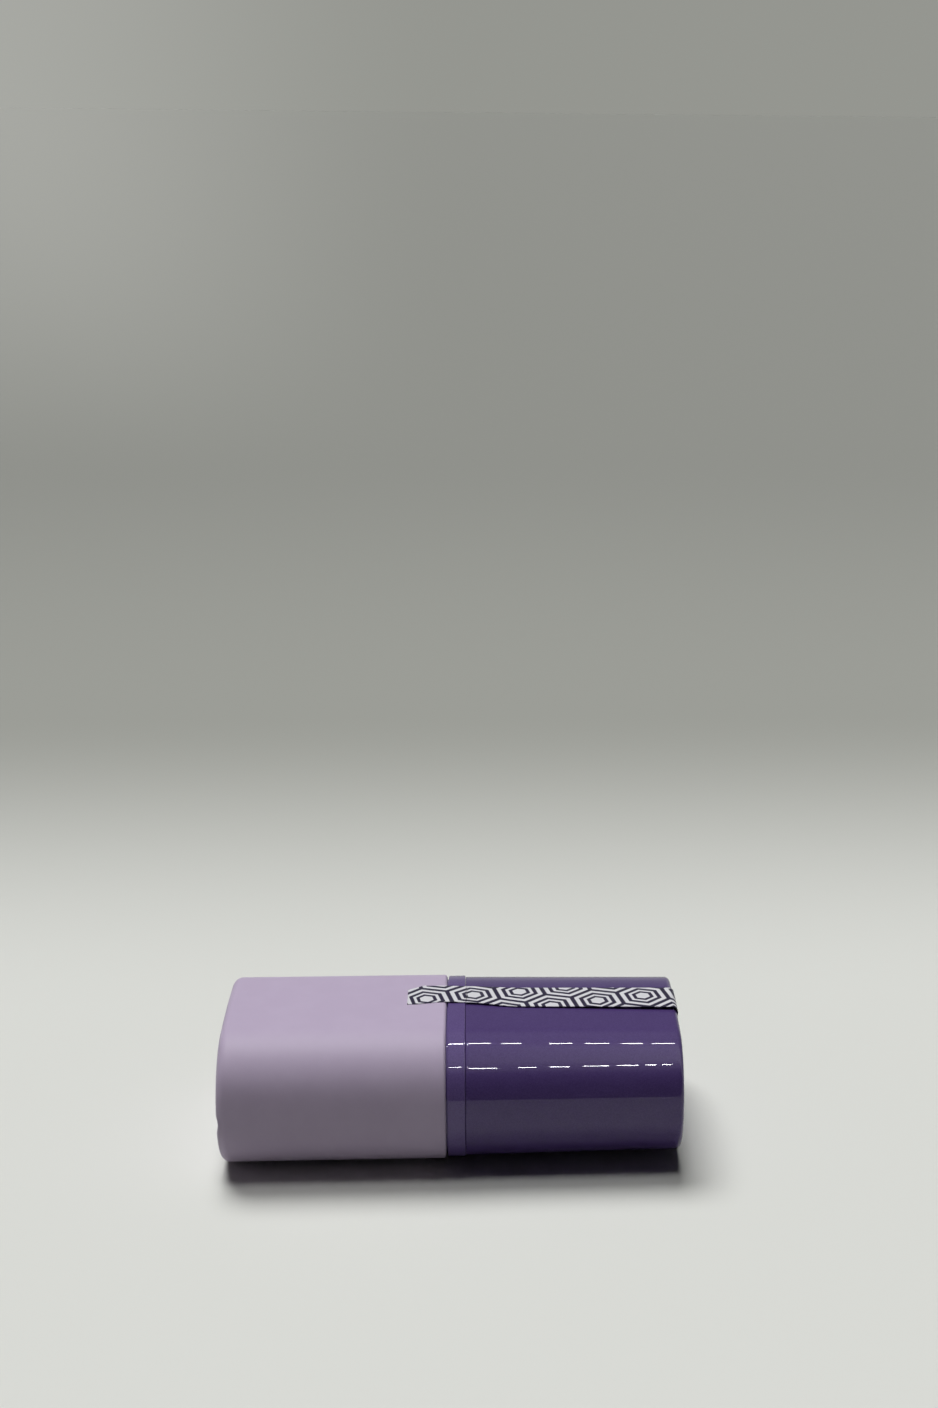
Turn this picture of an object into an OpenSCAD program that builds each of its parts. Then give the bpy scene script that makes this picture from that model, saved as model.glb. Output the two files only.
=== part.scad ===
// Small airless pump bottle, lying on its back.
// Each piece is drawn upright about the bottle's own axis, base at zero and front towards -Y.
// lay_down() then turns it: axis along +X, front up, origin under the middle of the whole bottle.

/* [Outline] */
// Width of the body, side to side
body_w = 36.4; // [32:0.2:42]
// Thickness of the body, front to back
body_t = 21.6; // [21.4:0.1:26]
// Radius of the four corners of the section
corner_r = 10.2; // [8:0.1:10.4]
// Radius of the slightly crowned front and back
face_r = 110; // [80:1:200]
// Radius of the slightly crowned narrow sides
side_r = 60; // [45:1:120]

/* [Shell] */
// Height of the lavender shell
shell_h = 33.6; // [32:0.1:45]
// Wall of the shell
shell_wall = 1.5; // [1.2:0.1:1.8]
// Rounding of the shell's lower edge
base_edge = 1.4; // [0.4:0.1:1.4]
// Rounding of the shell's upper edge
top_edge = 0.5; // [0.2:0.1:0.8]
// Angle of the pry notch round the section, from the middle of the narrow side
notch_angle = 0; // [0:1:80]
// Width of the pry notch in the lower rim
notch_w = 2.5; // [2:0.5:6]
// Depth of the pry notch
notch_d = 0.3; // [0.2:0.05:0.6]

/* [Base plate] */
// Thickness of the base plate
base_t = 1.6; // [1.2:0.1:2.4]
// Height of its two side walls above the plate
base_wall_h = 4.2; // [2.5:0.1:5]
// Wall of the side walls and of the locating ring
base_wall = 1.2; // [0.8:0.1:1.4]
// Height of the ring that locates the reservoir
locator_h = 1.1; // [0.6:0.1:1.5]
// Diameter of the air inlet in the base, through which the follower can be seen
inlet_d = 6; // [4:0.5:8]

/* [Collar and cap] */
// Height of the visible band
band_h = 2.65; // [2:0.05:4]
// Step of the band below the shell's surface
band_step = 0.15; // [0:0.05:0.3]
// Height of the grooves beside the band
groove_h = 0.2; // [0.1:0.05:0.4]
// Depth of the groove between shell and band
groove_d = 0.7; // [0.3:0.1:1]
// Wall of the collar's sleeve, skirt and spigot
collar_wall = 1; // [0.8:0.1:1.2]
// Thickness of the collar's deck
deck_t = 1.3; // [0.9:0.1:1.6]
// Depth of the collar's sleeve inside the shell
sleeve_h = 2.3; // [1.5:0.1:2.3]
// Height of the spigot above the band
spigot_h = 10.6; // [9.6:0.1:12]
// Height of the cap
cap_h = 32.2; // [31.5:0.1:38]
// Step of the cap's mouth below the shell's surface
cap_step = 0.35; // [0.1:0.05:0.4]
// Draft of the cap: how much smaller its end is, on each side
cap_draft = 0.4; // [0.2:0.05:0.5]
// Rounding of the cap's edge
cap_edge = 0.8; // [0.3:0.1:0.9]
// Thinnest wall of the cap, at its end
cap_wall = 1.1; // [0.8:0.1:1.2]
// Thickness of the cap's flat end
cap_top_t = 1.3; // [1:0.1:2]
// Wall of the cap's inner cup
liner_wall = 0.9; // [0.7:0.1:1]
// How far the liner's mouth sits back from the cap's
liner_inset = 0.3; // [0.1:0.1:1]
// How far the grip ribs stand out inside the liner
grip_rib = 0.1; // [0.05:0.05:0.1]
// Width of the grip ribs
grip_rib_w = 1; // [0.6:0.1:1.6]

/* [Seal strip] */
// Width of the paper strip
strip_w = 7.1; // [5:0.1:9]
// Thickness of the paper
strip_t = 0.12; // [0.1:0.01:0.2]
// Length of the strip on the shell
strip_on_shell = 6; // [4:0.1:10]
// Length folded down over the cap's end
strip_fold = 4; // [2:0.1:6]
// Length of the corner that is cut off, along the bottle
strip_cut_l = 2.4; // [1:0.1:4]
// Width of the corner that is cut off, across the strip
strip_cut_w = 1.8; // [1:0.1:4.5]
// How far the strip's middle lies to the left of the bottle's where it starts on the shell
strip_start_off = 1.9; // [-3:0.1:3]
// How far it lies to the left where it folds over the cap's end
strip_end_off = 0.5; // [-3:0.1:3]
// How far its right edge is drawn in where it bridges the band
strip_waist = 0.9; // [0:0.1:1.5]
// Length over which it widens again on the cap
strip_waist_l = 8; // [4:0.5:12]

/* [Reservoir and follower] */
// Bore of the reservoir
bore_d = 16.6; // [15.6:0.1:16.8]
// Wall of the reservoir
reservoir_wall = 0.8; // [0.6:0.1:0.9]
// Thickness of the reservoir's shoulder
shoulder_t = 1.1; // [0.8:0.1:1.3]
// Outside diameter of the neck
neck_d = 10.6; // [10.4:0.1:10.8]
// Wall of the neck
neck_wall = 0.8; // [0.6:0.1:0.9]
// Height of the neck above the shoulder
neck_h = 9.4; // [9:0.1:10]
// How far the neck's snap bead stands out
bead_w = 0.4; // [0.2:0.05:0.45]
// Height of the snap bead
bead_h = 0.8; // [0.5:0.1:1.2]
// Height of the follower piston
follower_h = 6; // [5.5:0.1:6.5]
// Depth of the follower's dish
dish_h = 4.3; // [4:0.1:4.6]
// Thickness of the follower's floor and wall
follower_wall = 0.9; // [0.6:0.1:1.1]
// Height of each wiper lip
lip_h = 0.8; // [0.5:0.1:1.2]

/* [Pump] */
// Gap between the pump chamber and the bore of the neck
neck_gap = 0.3; // [0.2:0.05:0.5]
// Wall of the pump chamber
chamber_wall = 0.8; // [0.6:0.1:0.9]
// Depth of the chamber below its flange
chamber_h = 10.9; // [10.5:0.1:11.2]
// Length of the inlet below the chamber's floor
inlet_h = 4; // [3.8:0.1:4.2]
// Thickness of the pump's flange
flange_t = 0.8; // [0.6:0.1:1]
// Thickness of the neck gasket
gasket_t = 0.5; // [0.3:0.1:0.8]
// Lift of the inlet ball
ball_lift = 0.5; // [0.3:0.1:0.6]
// Diameter of the inlet hole
inlet_hole_d = 1.8; // [1.4:0.1:1.9]
// Length of the stem below its foot flange
stem_nose = 1; // [0.8:0.05:1.6]
// Wall of the stem
stem_wall = 0.9; // [0.8:0.05:1.1]
// Height of the piston seal
piston_h = 2.8; // [2.2:0.1:2.8]
// Depth of the stem guide inside the chamber
guide_h = 2.5; // [2:0.1:2.6]
// Wall of the snap ferrule
ferrule_wall = 0.9; // [0.7:0.1:0.95]
// Wire of the return spring
wire_d = 0.42; // [0.3:0.01:0.44]
// Turns of the return spring
spring_turns = 4; // [3:0.5:4]

/* [Actuator] */
// Height of the actuator
actuator_h = 15.1; // [14.5:0.1:15.5]
// Wall of the actuator
actuator_wall = 1; // [0.8:0.1:1.3]
// Thickness of the actuator's top
actuator_top_t = 1.6; // [1.4:0.1:2]
// Depth of the finger dish in its top
finger_dish = 0.7; // [0.3:0.1:0.9]
// Height of the nozzle's axis below the actuator's top
nozzle_drop = 5.1; // [4.5:0.1:5.5]
// Diameter of the nozzle insert
nozzle_d = 3; // [2.4:0.1:3.2]
// How far the nozzle stands out of the actuator
nozzle_out = 0.6; // [0.3:0.1:0.8]
// Length of the nozzle insert
nozzle_l = 2.6; // [2:0.1:3]
// Diameter of the outlet hole
outlet_d = 1.3; // [0.8:0.1:1.5]

/* [Clearances] */
// Gap between pieces that are pushed or snapped together
fit_gap = 0.05; // [0.03:0.01:0.08]
// Gap between the sliding cap and the spigot
cap_gap = 0.2; // [0.15:0.01:0.3]
// Gap round the sliding actuator
actuator_gap = 0.25; // [0.2:0.01:0.3]
// Gap of the follower and the pump piston in their bores
seal_gap = 0.04; // [0.02:0.01:0.08]

/* [Hidden] */

// Overrun of every cut past the face it opens
cut = 1;
// Facets of circles, and steps along each part of the section's outline and over its edges
fine = 64;
crown_steps = 3;
corner_steps = 12;
side_steps = 2;
edge_steps = 4;

// Centres and end points of the arcs of the section, worked out so that they run smoothly into each other
a = body_w / 2;
b = body_t / 2;
crown_c = [0, b - face_r];
side_c = [a - side_r, 0];
crown_reach = face_r - corner_r;
side_reach = side_r - corner_r;
centres = norm(crown_c - side_c);
along = (crown_reach * crown_reach - side_reach * side_reach + centres * centres) / (2 * centres);
aside = sqrt(crown_reach * crown_reach - along * along);
heading = (side_c - crown_c) / centres;
corner_c = crown_c + along * heading + aside * [heading[1], -heading[0]];
crown_angle = asin(corner_c[0] / crown_reach);
side_angle = asin(corner_c[1] / side_reach);

// Heights along the bottle
band_z = shell_h + groove_h;
band_top = band_z + band_h;
cap_z = band_top + groove_h;
cap_top = cap_z + cap_h;
spigot_top = band_top + spigot_h;
shoulder_z = shell_h - sleeve_h - fit_gap;
neck_top = shoulder_z + neck_h;
flange_z = neck_top + gasket_t;
flange_top = flange_z + flange_t;
chamber_floor = flange_top - chamber_h - flange_t;
inlet_z = chamber_floor - inlet_h;
guide_flange_t = flange_t;
guide_top = flange_top + guide_flange_t;
ferrule_top = guide_top + fit_gap;
liner_z = cap_z + liner_inset;
liner_top = cap_top - cap_top_t - fit_gap;

// Radii of the round pieces
bore_r = bore_d / 2;
reservoir_r = bore_r + reservoir_wall;
neck_r = neck_d / 2;
neck_bore_r = neck_r - neck_wall;
bead_r = neck_r + bead_w;
flange_r = bead_r;
chamber_r = neck_bore_r - neck_gap - chamber_wall;
ferrule_bore_r = bead_r + fit_gap;
ferrule_r = ferrule_bore_r + ferrule_wall;
// The stem and the inlet valve keep their proportions to the chamber
stem_share = 0.53;
ball_share = 0.389;
pocket_share = 0.611;
stem_r = stem_share * chamber_r;
stem_bore_r = stem_r - stem_wall;
ball_r = ball_share * chamber_r;
pocket_r = pocket_share * chamber_r;
inlet_hole_r = inlet_hole_d / 2;
nozzle_r = nozzle_d / 2;
wire_r = wire_d / 2;

// Steps in from the shell's surface: each piece's skin follows from the one outside it
cap_cavity_in = cap_step + cap_draft + cap_wall;
liner_out_in = cap_cavity_in + fit_gap;
liner_in_in = liner_out_in + liner_wall;
spigot_out_in = liner_in_in + cap_gap;
spigot_in_in = spigot_out_in + collar_wall;
actuator_out_in = spigot_in_in + actuator_gap;
actuator_in_in = actuator_out_in + actuator_wall;

// The inlet valve: the ball sits in a 45 degree cone, in a pocket below the chamber's floor
cone_h = pocket_r - inlet_hole_r;
seat_z = chamber_floor - ball_r - cone_h / 2;
ball_z = seat_z + (ball_r * sqrt(2) - inlet_hole_r) + seal_gap;
cage_foot_t = neck_wall / 2;
cage_r = pocket_r + cage_foot_t / 2;
cage_stop_z = ball_z + ball_r + ball_lift + fit_gap;
cage_top = cage_stop_z + cage_foot_t;

// The plunger at rest: its piston stands under the guide, its foot flange on the spring, and what is
// left between its nose and the cage is the stroke
piston_top = flange_top - guide_h - fit_gap;
piston_z = piston_top - piston_h;
foot_t = flange_t * 0.8;
foot_z = piston_z - foot_t;
foot_r = chamber_r - 8 * seal_gap;
stem_z = foot_z - stem_nose;
stroke = stem_z - cage_top - 2 * fit_gap;
actuator_z = guide_top + stroke + ferrule_wall / 3;
actuator_top = actuator_z + actuator_h;
nozzle_z = actuator_top - nozzle_drop;
socket_depth = actuator_h / 3;
boss_r = stem_r + actuator_wall + fit_gap;
boss_z = actuator_z + ferrule_wall;
stem_top = boss_z + socket_depth;
spring_z = chamber_floor + fit_gap + cage_foot_t + fit_gap;
spring_r = (cage_r + foot_r) / 2 + fit_gap;

function mirror_x(pts) = [for (i = [len(pts) - 1:-1:0]) [-pts[i][0], pts[i][1]]];
function mirror_y(pts) = [for (i = [len(pts) - 1:-1:0]) [pts[i][0], -pts[i][1]]];
function turn(c, r, t) = c + r * [cos(t), sin(t)];

// A quarter of the section grown by g, from the middle of a narrow side to the narrow flat down the
// middle of the back, on which the bottle comes to rest
function quarter(g) = concat(
    [for (i = [0:side_steps - 1]) turn(side_c, side_r + g, side_angle * i / side_steps)],
    [for (i = [0:corner_steps - 1])
        turn(corner_c, corner_r + g, side_angle + (90 - crown_angle - side_angle) * i / corner_steps)],
    [for (i = [0:crown_steps - 1])
        turn(crown_c, face_r + g, 90 - crown_angle + crown_angle * i / (crown_steps + 0.5))],
    [[(face_r + g) * sin(crown_angle / (2 * crown_steps + 1)), b + g]]);
function but_first(pts) = [for (i = [1:len(pts) - 1]) pts[i]];
function half(g) = concat(quarter(g), mirror_x(quarter(g)));
function around(g) = concat(half(g), but_first(mirror_y(half(g))));
function section_ring(g) = [for (i = [0:len(around(g)) - 2]) around(g)[i]];

// A skin through rings, each given as [height, growth]
module skin(rings) {
    count = len(section_ring(0));
    points = [for (r = rings) for (p = section_ring(r[1])) [p[0], p[1], r[0]]];
    last = len(rings) - 1;
    sides = [for (k = [0:last - 1]) for (i = [0:count - 1]) let (j = (i + 1) % count)
        for (f = [[k * count + i, (k + 1) * count + j, k * count + j],
                  [k * count + i, (k + 1) * count + i, (k + 1) * count + j]]) f];
    ends = [[for (i = [0:count - 1]) i],
            [for (i = [count - 1:-1:0]) last * count + i]];
    polyhedron(points, concat(ends, sides), convexity = 4);
}

// The same outline as a flat shape, so that skins and walls run side by side
module section(g) {
    polygon(section_ring(g));
}

module block(z, h, g) {
    translate([0, 0, z]) linear_extrude(height = h, convexity = 4) section(g);
}

// A wall from growth g_out inwards to g_in, open at both ends
module sleeve(z, h, g_out, g_in) {
    translate([0, 0, z]) linear_extrude(height = h, convexity = 4) difference() {
        section(g_out);
        section(g_in);
    }
}

module disc(z, h, r) {
    translate([0, 0, z]) cylinder(r = r, h = h, $fn = fine);
}

module ring(z, h, r_out, r_in) {
    difference() {
        disc(z, h, r_out);
        disc(z - cut, h + 2 * cut, r_in);
    }
}

module lay_down() {
    translate([-(cap_top + fit_gap + strip_t) / 2, 0, b]) rotate([-90, 0, 0]) rotate([0, 90, 0]) children();
}

// Rings of a rounded edge of radius r that starts (way 1) or ends (way -1) at height z, on growth g
function edge_rings(z, r, g, way) = [for (i = [0:edge_steps])
    let (t = way > 0 ? 90 * i / edge_steps : 90 - 90 * i / edge_steps)
    [z + way * r * (1 - cos(t)), g - r * (1 - sin(t))]];

module outer_shell() {
    scoop_r = (notch_w * notch_w / 4 + notch_d * notch_d) / (2 * notch_d);
    color([0.71, 0.65, 0.75]) lay_down() difference() {
        skin(concat(edge_rings(0, base_edge, 0, 1), edge_rings(shell_h, top_edge, 0, -1)));
        block(-cut, shell_h + 2 * cut, -shell_wall);
        translate(corner_c) rotate([0, 0, notch_angle]) translate([corner_r, 0, notch_d - scoop_r])
            rotate([0, 90, 0]) cylinder(r = scoop_r, h = 4 * shell_wall, center = true, $fn = 2 * fine);
    }
}

module base_plate() {
    color([0.71, 0.65, 0.75]) lay_down() difference() {
        union() {
            block(0, base_t, -shell_wall - fit_gap);
            ring(0, base_t + locator_h, bore_r - fit_gap, bore_r - fit_gap - base_wall);
            intersection() {
                sleeve(0, base_t + base_wall_h, -shell_wall - fit_gap, -shell_wall - fit_gap - base_wall);
                for (s = [0, 180]) rotate([0, 0, s])
                    translate([reservoir_r + base_wall, -b, 0]) cube([a, body_t, base_t + base_wall_h]);
            }
        }
        disc(-cut, base_t + 2 * cut, inlet_d / 2);
    }
}

module reservoir() {
    foot_z0 = base_t + fit_gap;
    color([0.93, 0.93, 0.92]) lay_down() rotate_extrude($fn = 2 * fine) polygon([
        [bore_r, foot_z0], [reservoir_r, foot_z0], [reservoir_r, shoulder_z - reservoir_wall],
        [reservoir_r - reservoir_wall, shoulder_z], [neck_r, shoulder_z], [neck_r, neck_top - 2 * bead_h],
        [bead_r, neck_top - 1.5 * bead_h], [bead_r, neck_top - bead_h / 2], [neck_r, neck_top],
        [neck_bore_r, neck_top], [neck_bore_r, shoulder_z - shoulder_t],
        [bore_r - reservoir_wall, shoulder_z - shoulder_t],
        [bore_r, shoulder_z - shoulder_t - reservoir_wall]]);
}

// Double ended wiper piston with a dish that takes the pump's inlet
module follower_piston() {
    z = base_t + locator_h + fit_gap;
    lip_r = bore_r - seal_gap;
    wall_r = lip_r - follower_wall / 2;
    dish_r = wall_r - follower_wall;
    floor_z = z + follower_h - dish_h - follower_wall;
    color([0.95, 0.95, 0.93]) lay_down() rotate_extrude($fn = 2 * fine) polygon([
        [0, floor_z], [dish_r, floor_z], [dish_r, z], [lip_r, z], [lip_r, z + lip_h], [wall_r, z + 2 * lip_h],
        [wall_r, z + follower_h - 2 * lip_h], [lip_r, z + follower_h - lip_h], [lip_r, z + follower_h],
        [dish_r, z + follower_h], [dish_r, floor_z + follower_wall], [0, floor_z + follower_wall]]);
}

module neck_gasket() {
    color([0.85, 0.85, 0.83]) lay_down()
        ring(neck_top, gasket_t, neck_r, chamber_r + chamber_wall + fit_gap);
}

module pump_housing() {
    wall_r = chamber_r + chamber_wall;
    inlet_r = pocket_r + chamber_wall;
    color([0.94, 0.94, 0.94]) lay_down() rotate_extrude($fn = 2 * fine) polygon([
        [inlet_hole_r, inlet_z], [inlet_r, inlet_z], [inlet_r, chamber_floor - 2 * chamber_wall],
        [wall_r, chamber_floor], [wall_r, flange_z], [flange_r, flange_z], [flange_r, flange_top],
        [chamber_r, flange_top], [chamber_r, chamber_floor], [pocket_r, chamber_floor],
        [pocket_r, seat_z + cone_h], [inlet_hole_r, seat_z]]);
}

module inlet_ball() {
    color([0.75, 0.76, 0.78]) lay_down() translate([0, 0, ball_z]) sphere(r = ball_r, $fn = fine);
}

// A foot ring under the spring, a short wall and a cross bar over the ball
module ball_cage() {
    z = chamber_floor + fit_gap;
    color([0.95, 0.95, 0.93]) lay_down() difference() {
        union() {
            disc(z, cage_foot_t, foot_r);
            disc(z, cage_top - z, cage_r);
        }
        disc(z - cut, cage_stop_z - z + cut, ball_r + fit_gap);
        for (s = [0:90:270]) rotate([0, 0, s])
            translate([ball_r / 4, ball_r / 4, z]) cube([ball_r / 2, ball_r / 2, cage_top - z + cut]);
    }
}

// An unbroken round wire swept along the helix
module return_spring() {
    sides = 6;
    per_turn = 14;
    count = round(spring_turns * per_turn);
    low = spring_z + wire_r;
    high = foot_z - fit_gap - wire_r;
    function wire_point(k, s) =
        let (t = 360 * k / per_turn, u = 360 * s / sides, r = spring_r + wire_r * cos(u))
        [r * cos(t), r * sin(t), low + (high - low) * k / count + wire_r * sin(u)];
    points = [for (k = [0:count]) for (s = [0:sides - 1]) wire_point(k, s)];
    faces = [for (k = [0:count - 1]) for (s = [0:sides - 1]) let (n = (s + 1) % sides)
        for (f = [[k * sides + s, (k + 1) * sides + n, (k + 1) * sides + s],
                  [k * sides + s, k * sides + n, (k + 1) * sides + n]]) f];
    ends = [[for (s = [sides - 1:-1:0]) s], [for (s = [0:sides - 1]) count * sides + s]];
    color([0.72, 0.73, 0.75]) lay_down() polyhedron(points, concat(ends, faces), convexity = 8);
}

module pump_stem() {
    bore_z = foot_z + foot_t;
    hole_z = (piston_z + piston_top) / 2;
    color([0.94, 0.94, 0.94]) lay_down() difference() {
        union() {
            disc(stem_z, stem_top - stem_z, stem_r);
            disc(foot_z, foot_t, foot_r);
        }
        disc(bore_z, stem_top - bore_z + cut, stem_bore_r);
        translate([0, 0, hole_z]) rotate([90, 0, 0])
            cylinder(r = stem_bore_r / 2, h = 2 * (stem_r + cut), center = true, $fn = fine / 2);
    }
}

module pump_piston() {
    lip_r = chamber_r - seal_gap;
    wall_r = lip_r - neck_wall / 2;
    lip = lip_h * 0.7;
    z = piston_z + fit_gap;
    top = piston_top;
    color([0.95, 0.95, 0.93]) lay_down() rotate_extrude($fn = 2 * fine) polygon([
        [stem_r + fit_gap, z], [wall_r, z + lip / 2], [lip_r, z], [lip_r, z + lip / 2],
        [wall_r, z + 1.5 * lip], [wall_r, top - 1.5 * lip], [lip_r, top - lip / 2], [lip_r, top],
        [wall_r, top - lip / 2], [stem_r + fit_gap, top]]);
}

module stem_guide() {
    color([0.94, 0.94, 0.94]) lay_down() difference() {
        union() {
            disc(flange_top - guide_h, guide_h, chamber_r - fit_gap);
            disc(flange_top, guide_flange_t, chamber_r + chamber_wall);
        }
        disc(flange_top - guide_h - cut, guide_h + guide_flange_t + 2 * cut, stem_r + fit_gap);
    }
}

// Snap ring: it hooks under the neck's bead and clamps the pump's flange from above
module snap_ferrule() {
    z = neck_top - 3 * bead_h;
    hook_z = neck_top - 2 * bead_h;
    color([0.94, 0.94, 0.94]) lay_down() rotate_extrude($fn = 2 * fine) polygon([
        [neck_r + fit_gap, z], [ferrule_r, z], [ferrule_r, ferrule_top - ferrule_wall / 3],
        [ferrule_r - ferrule_wall / 3, ferrule_top], [chamber_r + chamber_wall + fit_gap, ferrule_top],
        [chamber_r + chamber_wall + fit_gap, flange_top + fit_gap], [ferrule_bore_r, flange_top + fit_gap],
        [ferrule_bore_r, hook_z], [neck_r + fit_gap, hook_z - fit_gap]]);
}

module collar() {
    sleeve_out = -shell_wall - fit_gap;
    color([0.28, 0.23, 0.42]) lay_down() difference() {
        union() {
            sleeve(shell_h - sleeve_h, sleeve_h + groove_h + cut, sleeve_out, sleeve_out - collar_wall);
            sleeve(shell_h, groove_h, -groove_d, sleeve_out - collar_wall);
            sleeve(band_z, band_h, -band_step, sleeve_out - collar_wall);
            block(band_top - deck_t, deck_t, -band_step);
            sleeve(band_top - deck_t, deck_t + spigot_h, -spigot_out_in, -spigot_in_in);
        }
        disc(band_top - deck_t - cut, deck_t + 2 * cut, bead_r + fit_gap);
        disc(band_top, ferrule_top + fit_gap - band_top, ferrule_r + fit_gap);
    }
}

module actuator() {
    depth = b - actuator_out_in;
    dish_ball = (a * a / 4 + finger_dish * finger_dish) / (2 * finger_dish);
    roof_z = actuator_top - actuator_top_t;
    web_t = actuator_wall * 0.8;
    color([0.71, 0.65, 0.75]) lay_down() difference() {
        union() {
            difference() {
                block(actuator_z, actuator_h, -actuator_out_in);
                block(actuator_z - cut, roof_z - actuator_z + cut, -actuator_in_in);
            }
            disc(boss_z, roof_z - boss_z, boss_r);
            translate([0, 0, nozzle_z]) rotate([90, 0, 0])
                cylinder(r = nozzle_r + actuator_wall, h = depth - actuator_wall / 2, $fn = fine);
            for (s = [0, 180]) rotate([0, 0, s]) translate([boss_r / 2, -web_t / 2, boss_z + socket_depth])
                cube([a - actuator_in_in - boss_r / 2 + fit_gap, web_t, roof_z - boss_z - socket_depth]);
        }
        disc(boss_z - cut, socket_depth + cut, stem_r + seal_gap / 2);
        disc(boss_z, nozzle_z - boss_z, stem_bore_r);
        translate([0, 0, nozzle_z]) rotate([90, 0, 0]) cylinder(d = outlet_d, h = depth + cut, $fn = fine);
        translate([0, -depth - nozzle_out, nozzle_z]) rotate([-90, 0, 0])
            cylinder(r = nozzle_r + seal_gap / 2, h = nozzle_l + fit_gap, $fn = fine);
        translate([0, 0, actuator_top - finger_dish + dish_ball]) sphere(r = dish_ball, $fn = 2 * fine);
    }
}

module nozzle_insert() {
    color([0.94, 0.94, 0.94]) lay_down()
        translate([0, -(b - actuator_out_in) - nozzle_out, nozzle_z]) rotate([-90, 0, 0]) difference() {
            cylinder(r = nozzle_r, h = nozzle_l, $fn = fine);
            translate([0, 0, -cut]) cylinder(d = outlet_d, h = nozzle_l + 2 * cut, $fn = fine);
            translate([0, 0, -outlet_d / 2]) cylinder(r1 = nozzle_r, r2 = 0, h = nozzle_r, $fn = fine);
        }
}

module cap_liner() {
    rib_h = spigot_h / 2;
    rib_in = b - liner_in_in - grip_rib - fit_gap;
    color([0.93, 0.93, 0.92]) lay_down() {
        difference() {
            block(liner_z, liner_top - liner_z, -liner_out_in);
            block(liner_z - cut, liner_top - liner_wall - liner_z + cut, -liner_in_in);
        }
        for (s = [0, 180], x = [-1, 1]) rotate([0, 0, s])
            translate([x * corner_c[0] / 2 - grip_rib_w / 2, rib_in, liner_z + liner_inset])
                cube([grip_rib_w, grip_rib + 3 * fit_gap, rib_h]);
    }
}

module cap_shell() {
    color([0.28, 0.23, 0.42]) lay_down() difference() {
        skin(concat([[cap_z, -cap_step - band_step], [cap_z + band_step, -cap_step]],
                    edge_rings(cap_top, cap_edge, -cap_step - cap_draft, -1)));
        block(cap_z - cut, cap_h - cap_top_t + cut, -cap_cavity_in);
    }
}

// The middle line of the strip, which runs a little askew over shell, band and cap
strip_z = shell_h - strip_on_shell;
function strip_mid(z) = -strip_start_off
    + (strip_start_off - strip_end_off) * (z - strip_z) / (cap_top - strip_z);

// Everything in front of the bottle's middle that lies within a plan of the strip
module strip_plan(plan) {
    rotate([90, 0, 0]) linear_extrude(height = body_t) polygon(plan);
}

// Paper on the shell, bridging the band, with one corner cut off
module seal_strip_body() {
    edge = strip_w / 2;
    color([0.86, 0.86, 0.88]) lay_down() intersection() {
        sleeve(strip_z, band_top - strip_z, strip_t, 0);
        strip_plan([[strip_mid(strip_z) - edge + strip_cut_w, strip_z],
                    [strip_mid(strip_z) + edge, strip_z],
                    [strip_mid(band_z) + edge - strip_waist, band_z],
                    [strip_mid(band_top) + edge - strip_waist, band_top],
                    [strip_mid(band_top) - edge, band_top],
                    [strip_mid(strip_z + strip_cut_l) - edge, strip_z + strip_cut_l]]);
    }
}

// The cap's outer skin grown by g, from height z upwards
module cap_skin(z, g) {
    skin(concat([[z, g - cap_step]], edge_rings(cap_top + g, cap_edge + g, g - cap_step - cap_draft, -1)));
}

// Paper on the cap: it follows the draft and is folded down over the end
module seal_strip_cap() {
    edge = strip_w / 2;
    top = cap_top + cut;
    color([0.86, 0.86, 0.88]) lay_down() intersection() {
        difference() {
            cap_skin(cap_z, fit_gap + strip_t);
            cap_skin(cap_z - cut, fit_gap);
            translate([-a, cap_step + cap_draft + cap_edge + strip_fold - b, cap_z])
                cube([body_w, body_t, cap_h + cut]);
        }
        strip_plan([[strip_mid(cap_z) - edge, cap_z - cut],
                    [strip_mid(cap_z) + edge - strip_waist, cap_z - cut],
                    [strip_mid(cap_z) + edge - strip_waist, cap_z],
                    [strip_mid(cap_z + strip_waist_l) + edge, cap_z + strip_waist_l],
                    [strip_mid(top) + edge, top], [strip_mid(top) - edge, top]]);
    }
}

outer_shell();
base_plate();
reservoir();
follower_piston();
neck_gasket();
pump_housing();
inlet_ball();
ball_cage();
return_spring();
pump_stem();
pump_piston();
stem_guide();
snap_ferrule();
collar();
actuator();
nozzle_insert();
cap_liner();
cap_shell();
seal_strip_body();
seal_strip_cap();
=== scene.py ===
from math import asin, cos, hypot, pi, radians, sin, sqrt

import bmesh
import bpy
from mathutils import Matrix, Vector, noise


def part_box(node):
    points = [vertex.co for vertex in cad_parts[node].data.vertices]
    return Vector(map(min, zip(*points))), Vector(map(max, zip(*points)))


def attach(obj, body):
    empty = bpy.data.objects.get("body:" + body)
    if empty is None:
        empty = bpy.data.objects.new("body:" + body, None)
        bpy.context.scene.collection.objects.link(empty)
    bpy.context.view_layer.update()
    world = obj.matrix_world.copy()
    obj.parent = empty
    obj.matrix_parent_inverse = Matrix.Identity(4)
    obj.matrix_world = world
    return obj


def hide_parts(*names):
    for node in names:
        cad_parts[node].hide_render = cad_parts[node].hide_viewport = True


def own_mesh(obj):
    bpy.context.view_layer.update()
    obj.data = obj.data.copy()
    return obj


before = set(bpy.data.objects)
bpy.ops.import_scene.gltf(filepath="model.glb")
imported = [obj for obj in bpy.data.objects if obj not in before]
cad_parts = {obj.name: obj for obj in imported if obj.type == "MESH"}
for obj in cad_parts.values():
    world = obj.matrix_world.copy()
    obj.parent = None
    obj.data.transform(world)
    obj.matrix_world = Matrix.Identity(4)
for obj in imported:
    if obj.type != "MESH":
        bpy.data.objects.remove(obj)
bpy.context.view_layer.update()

scene = bpy.context.scene
mm = 0.001

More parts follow.
